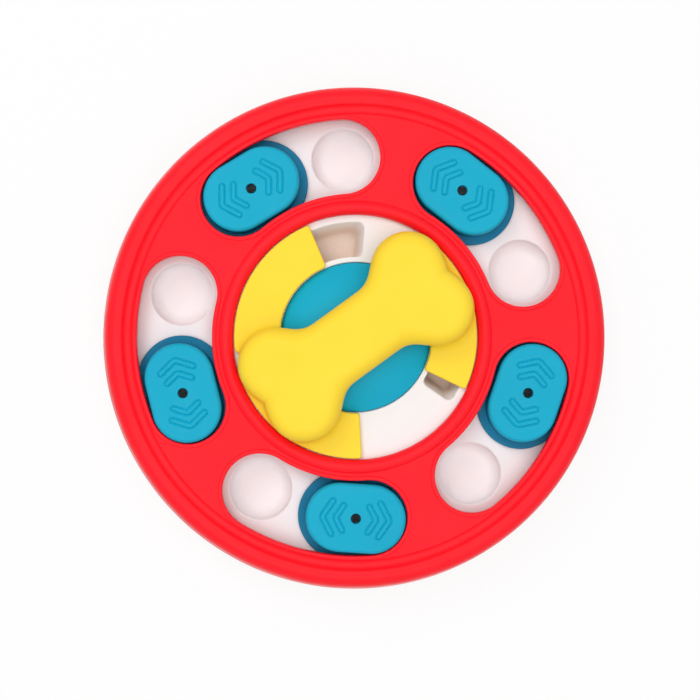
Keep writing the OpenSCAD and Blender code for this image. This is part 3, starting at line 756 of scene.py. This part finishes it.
dome_section = ([(r, ball_height(r)) for r in np.linspace(DOME_HOLE, DOME_EDGE, 30)]
                + bend((DOME_EDGE - 0.1, ball_height(DOME_EDGE) - 0.85), 0.8, 62, 0, 4)
                + [(DOME_RADIUS, SEAT), (DOME_INSIDE, SEAT), (DOME_INSIDE, DRUM)]
                + [(r, ball_height(r, DOME_WALL)) for r in np.linspace(30.0, DOME_HOLE, 12)])
dome = spin("dome", 200, dome_section)
shade(dome)
hang(dome, dome_blue, "frame", "slider_blue", "dome")

# %% [markdown]
# ## The base
#
# The base closes the toy from below. Its floor plate has five seats for the feet, five sunk holes for the
# screws and a round hole in the middle, through which the rotor's own screw is reached.

# %% The base's sections
BASE_OUT, BASE_IN, BASE_EDGE, REACH_HOLE, SEAT_TOP = 120.85, 118.45, 7.0, 11.0, 7.2
base_edge = [(BASE_IN, FLOOR_TOP), (BASE_IN, BASE_EDGE - 0.3), (BASE_IN + 0.3, BASE_EDGE),
             (BASE_OUT - 0.4, BASE_EDGE), (BASE_OUT, BASE_EDGE - 0.4), (BASE_OUT, BASE + 0.8),
             (BASE_OUT - 0.2, BASE + 0.3), (BASE_OUT - 0.8, BASE)]
reach_hole = [(REACH_HOLE + 0.3, BASE), (REACH_HOLE, BASE + 0.3), (REACH_HOLE, FLOOR_TOP)]
screw_seat = [(3.95, BASE), (3.7, BASE + 0.25), (3.7, 5.0), (1.6, 5.0), (1.6, SEAT_TOP), (5.9, SEAT_TOP),
              (6.2, SEAT_TOP - 0.3), (6.2, FLOOR_TOP)]
foot_seat = [(9.25, BASE), (9.05, BASE + 0.2), (9.05, BASE + 1), (4.0, BASE + 1)]
print("floor plate", round(FLOOR_TOP - BASE, 2), "mm thick")

# %% Build the base
base_shell = Shell()
top, bottom = base_shell.loft(circle(320), base_edge)
edge, inner = base_shell.loft(circle(64), reach_hole)
unders, floors = [bottom, edge], [top, inner]
for k in SLOTS:
    edge, seat = base_shell.loft(circle(48, spoke(POST_RADIUS, slot_direction(k) - PITCH / 2)), screw_seat)
    unders.append(edge)
    floors.append(seat)
    edge, seat = base_shell.loft(circle(56, spoke(FOOT_RADIUS, slot_direction(k))), foot_seat)
    unders.append(edge)
    base_shell.close(seat)
base_shell.fill(*unders)
base_shell.fill(*floors)
base = solid("base", base_shell)
shade(base)
hang(base, white, "frame", "tray_white", "base")

# %% [markdown]
# ## The rotor
#
# The rotor is three flat wings and a thick bone-shaped handle over them, in one moulding with soft inner
# corners. Such blends are hard to loft, so the whole form is written as one distance field: a formula
# that is below zero inside and above zero outside. Smooth minimums join the bone's lobes and waist, and
# the bone and the wings. A surface net then lays quads where the formula is zero. Metaballs work alike,
# but give no flat faces and no exact sizes.

# %% Ways to join distances
def smooth_min(a, b, soft):
    """The smaller distance, with a soft change from one to the other."""
    return np.minimum(a, b) - np.maximum(soft - np.abs(a - b), 0) ** 2 / (4 * soft)


def rounded(a, b, radius):
    """The corner between two distances, rounded."""
    return np.hypot(np.maximum(a + radius, 0), np.maximum(b + radius, 0)) + np.minimum(
        np.maximum(a, b) + radius, 0) - radius


print("two planes 1 mm away join at", float(smooth_min(1.0, 1.0, 2.0)))

# %% The bone
BONE_TURN, BONE_RISE, BONE_EDGE, BONE_SOFT = math.radians(36), 17.0, 8.0, 9.0
LOBE_X, LOBE_Y, LOBE, WAIST_X, WAIST = 38.8, 11.7, 17.7, 33.4, 17.0
WING_LOW, WING_TOP = 22.0, 25.0


def bone_field(x, y, z):
    """The bone's outline from two pairs of lobes and a waist, with a round edge on top."""
    c, s = math.cos(BONE_TURN), math.sin(BONE_TURN)
    along, across = np.abs(x * c + y * s), np.abs(y * c - x * s)
    lobes = np.hypot(along - LOBE_X, across - LOBE_Y) - LOBE
    waist = np.hypot(np.maximum(along - WAIST_X, 0), across) - WAIST
    level = smooth_min(lobes, waist, BONE_SOFT)
    spring = WING_TOP + BONE_RISE - BONE_EDGE
    crown = np.hypot(np.maximum(level + BONE_EDGE, 0), np.maximum(z - spring, 0)) - BONE_EDGE
    return rounded(np.maximum(crown, level), WING_TOP - 0.3 - z, 0.8)


print("the bone's top is at", WING_TOP + BONE_RISE)

# %% The wings
WING_IN, WING_OUT, WING_SWEEP, WING_STARTS = 36.4, 58.7, 74.0, (112.8, 198.9, -25.5)
WING_CORNER, WING_EDGE = 1.6, 0.9


def wing_field(radius, turn, z):
    """Three parts of a flat ring, with round corners and edges."""
    across = np.abs(radius - (WING_IN + WING_OUT) / 2) - (WING_OUT - WING_IN) / 2
    wings = np.full(len(z), 1e3)
    for start in WING_STARTS:
        off = np.abs((turn - start - WING_SWEEP / 2 + 180) % 360 - 180) - WING_SWEEP / 2
        past = radius * np.sin(np.radians(np.clip(off, -90, 90)))
        wings = np.minimum(wings, rounded(across, past, WING_CORNER))
    return rounded(wings, np.abs(z - (WING_LOW + WING_TOP) / 2) - (WING_TOP - WING_LOW) / 2, WING_EDGE)


print("a wing is", WING_SWEEP, "degrees long")

# %% The rotor's whole field, with room over the dome
INNER_CORNER, ROOM_RADIUS, ROOM_TOP = 5.0, 36.0, 31.9


def rotor_field(p):
    """The distance from each point to the rotor, in millimetres."""
    x, y, z = p.T
    radius, turn = np.hypot(x, y), np.degrees(np.arctan2(y, x))
    body = smooth_min(bone_field(x, y, z), wing_field(radius, turn, z), INNER_CORNER)
    room = rounded(radius - ROOM_RADIUS, z - ROOM_TOP, 1.2)
    return -smooth_min(smooth_min(-body, room, 1.0), WING_OUT - radius, 0.8)


print("on the bone's top:", rotor_field(np.array([[0.0, 0.0, WING_TOP + BONE_RISE]])).round(4))


# %% Lay a net of quads where the field is zero
def surface_net(field, low, high, step):
    """Points and quads on the zero level of a field, and the directions in which they face."""
    axes = [np.arange(a, b + step, step) for a, b in zip(low, high)]
    shape = tuple(len(a) for a in axes)
    nodes = np.stack(np.meshgrid(*axes, indexing="ij"), -1).reshape(-1, 3)
    values = field(nodes).reshape(shape)
    corners = [(i, j, k) for i in (0, 1) for j in (0, 1) for k in (0, 1)]
    cells = tuple(n - 1 for n in shape)
    parts = np.stack([values[i:i + cells[0], j:j + cells[1], k:k + cells[2]] for i, j, k in corners], -1)
    active = (parts.min(-1) < 0) & (parts.max(-1) >= 0)
    number = np.full(cells, -1)
    number[active] = np.arange(active.sum())
    v = parts[active]
    total, count = np.zeros((len(v), 3)), np.zeros(len(v))
    for a in range(8):
        for b in range(a + 1, 8):
            if sum(abs(np.subtract(corners[a], corners[b]))) == 1:
                cross = (v[:, a] < 0) != (v[:, b] < 0)
                share = np.where(cross, v[:, a] / np.where(cross, v[:, a] - v[:, b], 1), 0)[:, None]
                point = np.array(corners[a]) + share * np.subtract(corners[b], corners[a])
                total += np.where(cross[:, None], point, 0)
                count += cross
    points = np.array(low) + step * (np.argwhere(active) + total / count[:, None])
    quads = []
    for axis in range(3):
        here = [slice(1, -1)] * 3
        here[axis] = slice(0, -1)
        there = list(here)
        there[axis] = slice(1, None)
        inside, other = values[tuple(here)] < 0, values[tuple(there)] < 0
        for flip, mask in ((False, inside & ~other), (True, ~inside & other)):
            at = np.argwhere(mask)
            at[:, [a for a in range(3) if a != axis]] += 1
            u, w = [np.eye(3, dtype=int)[(axis + n) % 3] for n in (1, 2)]
            ring = [number[tuple((at - m).T)] for m in (u * 0, u, u + w, w)]
            quads.append(np.stack(ring[::-1] if flip else ring, -1))
    return points, np.vstack(quads)


def facing(field, points, reach=0.02):
    """The field's slope at each point, from its values on both sides."""
    return np.stack([field(points + d) - field(points - d) for d in np.eye(3) * reach], -1) / (2 * reach)


ball_points, ball_quads = surface_net(lambda p: np.linalg.norm(p, axis=1) - 2, (-3, -3, -3), (3, 3, 3), 1)
print("a ball as a coarse net has", len(ball_points), "points and", len(ball_quads), "quads")

# %% The rotor's net, drawn onto the zero level in four steps
NET_STEP = 0.79
points, quads = surface_net(rotor_field, (-60, -60, 21), (60, 60, 43.2), NET_STEP)
for _ in range(4):
    slope = facing(rotor_field, points)
    points = points - rotor_field(points)[:, None] * slope / np.maximum((slope ** 2).sum(-1), 0.2)[:, None]
print("net points", len(points), "quads", len(quads), "off", float(np.abs(rotor_field(points)).max()))

# %% Make the rotor, shaded by the field's own slope
rotor_shell = Shell()
rotor_shell.points, rotor_shell.faces = points.tolist(), [tuple(q) for q in quads.tolist()]
rotor = solid("rotor", rotor_shell)
rotor.data.shade_smooth()
slope = facing(rotor_field, np.array([v.co for v in rotor.data.vertices]) / MM)
rotor.data.normals_split_custom_set_from_vertices(slope / np.linalg.norm(slope, axis=1)[:, None])
hang(rotor, yellow, "rotor", "rotor_yellow", "rotor_wings", "bone_handle")

# %% [markdown]
# ## Feet and screws
#
# Five rubber feet and five screws stand in rings round the axis. That is a rule, not a shape, so Geometry
# Nodes follow it: one template is put on each point of a circle and turned with it. The tree ends in
# Realize Instances and Set Material, because an export drops instances.

# %% The node tree that sets parts in a ring
def ring_tree():
    """Instances of a part on the points of a circle, made real."""
    tree = bpy.data.node_groups.new("parts in a ring", "GeometryNodeTree")
    for name, kind in (("Part", "Object"), ("Count", "Int"), ("Radius", "Float"), ("Turn", "Float"),
                       ("Height", "Float"), ("Finish", "Material")):
        group_socket(tree, name, kind)
    group_socket(tree, "Geometry", "Geometry", way="OUTPUT")
    given = tree.nodes.new("NodeGroupInput").outputs
    result = tree.nodes.new("NodeGroupOutput").inputs
    ring = tree.nodes.new("GeometryNodeMeshCircle")
    part = tree.nodes.new("GeometryNodeObjectInfo")
    index = tree.nodes.new("GeometryNodeInputIndex").outputs["Index"]
    stand = tree.nodes.new("GeometryNodeInstanceOnPoints")
    spin, place, turn = (tree.nodes.new("ShaderNodeCombineXYZ") for _ in range(3))
    move = tree.nodes.new("GeometryNodeTransform")
    real = tree.nodes.new("GeometryNodeRealizeInstances")
    dress = tree.nodes.new("GeometryNodeSetMaterial")
    step = math_node(tree, "DIVIDE", 2 * math.pi, given["Count"])
    links = (
        (given["Count"], ring.inputs["Vertices"]), (given["Radius"], ring.inputs["Radius"]),
        (given["Part"], part.inputs["Object"]),
        (math_node(tree, "MULTIPLY", index, step), spin.inputs["Z"]),
        (ring.outputs["Mesh"], stand.inputs["Points"]), (part.outputs["Geometry"], stand.inputs["Instance"]),
        (spin.outputs["Vector"], stand.inputs["Rotation"]),
        (given["Height"], place.inputs["Z"]), (given["Turn"], turn.inputs["Z"]),
        (stand.outputs["Instances"], move.inputs["Geometry"]),
        (place.outputs["Vector"], move.inputs["Translation"]),
        (turn.outputs["Vector"], move.inputs["Rotation"]),
        (move.outputs["Geometry"], real.inputs["Geometry"]),
        (real.outputs["Geometry"], dress.inputs["Geometry"]),
        (given["Finish"], dress.inputs["Material"]), (dress.outputs["Geometry"], result["Geometry"]))
    for source, socket in links:
        tree.links.new(source, socket)
    return tree


parts_in_ring = ring_tree()
print("sockets of the ring:", [item.name for item in parts_in_ring.interface.items_tree])


# %% Fill in the ring's inputs
def in_ring(name, part, count, radius, turn, height, finish):
    """One mesh with count copies of a part round the axis. The part is used up."""
    piece = bpy.data.objects.new(name, bpy.data.meshes.new(name))
    scene.collection.objects.link(piece)
    rule = piece.modifiers.new("ring", "NODES")
    rule.node_group = parts_in_ring
    sizes = {"Part": part, "Count": count, "Radius": radius * MM, "Turn": math.radians(turn),
             "Height": height * MM, "Finish": finish}
    for item in parts_in_ring.interface.items_tree:
        if item.in_out == "INPUT":
            rule[item.identifier] = sizes[item.name]
    settle(piece)
    bpy.data.objects.remove(part)
    print(name, "faces", len(piece.data.polygons))
    return piece


# %% The feet, low rubber discs with a ring-shaped groove in the sole
def capped(name, count, section):
    """A solid made by turning a section round the axis, closed at both ends."""
    shell = Shell()
    for ring in shell.loft(circle(count), section):
        shell.close(ring)
    return solid(name, shell)


foot = capped("foot_part", 56, [(4.0, 3.0), (8.8, 3.0), (9.0, 2.8), (9.0, 0.8)]
              + bend((8.2, 0.8), 0.8, 0, -90, 4)[1:] + [(6.9, 0), (6.6, 0.35), (5.4, 0.35), (5.1, 0)])
shade(foot)
feet = in_ring("rubber_feet", foot, 5, FOOT_RADIUS, SLOT_TURN, 0.0, rubber)
hang(feet, rubber, "frame", "foot_rubber", *[f"foot_{k + 1}" for k in SLOTS])

# %% The screws
SCREW_HEIGHT, ROTOR_SCREW_HEIGHT = 3.2, 4.4
SQUARE = ((-1, -1), (1, -1), (1, 1), (-1, 1))
# half sizes of an arm of the cross, and heights
CROSS = (((1.8, 0.45), -1.0), ((1.8, 0.45), 0.0), ((1.2, 0.35), 0.99))


def cross_arm(height, upright):
    """One arm of the cross recess, a little narrower at its bottom."""
    arm = Shell()
    rings = []
    for (long, short), z in CROSS:
        wide, deep = (short, long) if upright else (long, short)
        rings.append(arm.ring([(x * wide, y * deep) for x, y in SQUARE], z + height))
    for a, b in zip(rings, rings[1:]):
        arm.bridge(a, b)
    arm.close(rings[0])
    arm.close(rings[-1])
    return solid("cross", arm)


def screw_part(name, height=0.0):
    """A pan-head screw, head down, with a cross recess."""
    section = ([(1.2, 0.0)] + bend((2.3, 0.9), 0.9, -90, 0, 6)
               + [(3.2, 1.6), (3.05, 1.8), (1.5, 1.8), (1.5, 13.3), (0.4, 14.8)])
    part = capped(name, 40, [(r, z + height) for r, z in section])
    for upright in (False, True):
        combine(part, cross_arm(height, upright), "DIFFERENCE")
    shade(part)
    return part


screws = in_ring("housing_screws", screw_part("screw"), 5, POST_RADIUS, SLOT_TURN - PITCH / 2,
                 SCREW_HEIGHT, steel)
hang(screws, steel, "frame", "screw_steel", "cover_screws")
hang(screw_part("rotor_screw", ROTOR_SCREW_HEIGHT), steel, "rotor", "screw_steel", "pivot_screw")

# %% Spindle and washer stay as packed, with better finishes
for node, finish in (("spindle", yellow), ("pivot_washer", steel)):
    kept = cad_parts[node]
    kept.data.materials.clear()
    kept.data.materials.append(finish)
    print(node, "keeps its shape and gets", finish.name)

# %% [markdown]
# ## Table and light
#
# The toy lies on a white table, and the picture's ground is plain white. The table takes light like a
# real one, so it keeps the toy's soft shadow, but it is lifted towards white for the camera. A very wide
# lamp above and two beside the toy give soft light. Glossy rays don't see them, so no bright disc shows in
# the flat deck.

# %% Which rays see the white ground
def ground_rays(tree):
    """One for a ray from the camera, or one that comes by gloss or through glass, and else zero."""
    paths = tree.nodes.new("ShaderNodeLightPath").outputs
    seen = math_node(tree, "MAXIMUM", paths["Is Camera Ray"], paths["Is Glossy Ray"])
    return math_node(tree, "MAXIMUM", seen, paths["Is Transmission Ray"])


FILL, LIFT = 0.35, 0.85
print("the ground is lifted by", LIFT, "and the surroundings light with", FILL)

# %% Table
SIDE = 4.0
UNDER = 0.02 * MM  # so the table and the undersides of the feet aren't in one plane
table_mesh = bpy.data.meshes.new("table")
table_mesh.from_pydata([(x * SIDE, y * SIDE, -UNDER) for x, y in SQUARE], [], [(0, 1, 2, 3)])
table = bpy.data.objects.new("table", table_mesh)
scene.collection.objects.link(table)
print("table", 2 * SIDE, "m wide")

# %% The table's white
ground = bpy.data.materials.new("white table")
ground.use_nodes = True
tree = ground.node_tree
tree.nodes.remove(tree.nodes["Principled BSDF"])
matt = tree.nodes.new("ShaderNodeBsdfDiffuse")
matt.inputs["Color"].default_value = (0.9, 0.9, 0.9, 1)
lift = tree.nodes.new("ShaderNodeEmission")
mix = tree.nodes.new("ShaderNodeMixShader")
tree.links.new(math_node(tree, "MULTIPLY", ground_rays(tree), LIFT), mix.inputs["Fac"])
tree.links.new(matt.outputs["BSDF"], mix.inputs[1])
tree.links.new(lift.outputs["Emission"], mix.inputs[2])
tree.links.new(mix.outputs["Shader"], tree.nodes["Material Output"].inputs["Surface"])
table_mesh.materials.append(ground)
print("the table's material has", len(tree.nodes), "nodes")

# %% The white surroundings
world = bpy.data.worlds.new("studio")
world.use_nodes = True
scene.world = world
tree = world.node_tree
sky = tree.nodes["Background"]
sky.inputs["Color"].default_value = (1, 1, 1, 1)
tree.links.new(math_node(tree, "MAXIMUM", ground_rays(tree), FILL), sky.inputs["Strength"])
print("the surroundings are", world.name)


# %% Lamps
def lamp(name, place, size, power):
    """A wide lamp that looks at the middle of the toy."""
    data = bpy.data.lights.new(name, "AREA")
    data.shape, data.size, data.energy = "DISK", size, power
    obj = bpy.data.objects.new(name, data)
    obj.visible_glossy = False
    obj.location = place
    obj.rotation_euler = (-Vector(place)).to_track_quat("-Z", "Y").to_euler()
    scene.collection.objects.link(obj)


lamp("top", (0.0, 0.0, 1.4), 2.0, 14)
lamp("key", (-0.55, 0.75, 1.0), 0.6, 4)
lamp("front", (0.3, -0.85, 0.9), 0.9, 2)
scene.view_settings.view_transform = "Standard"

# %% [markdown]
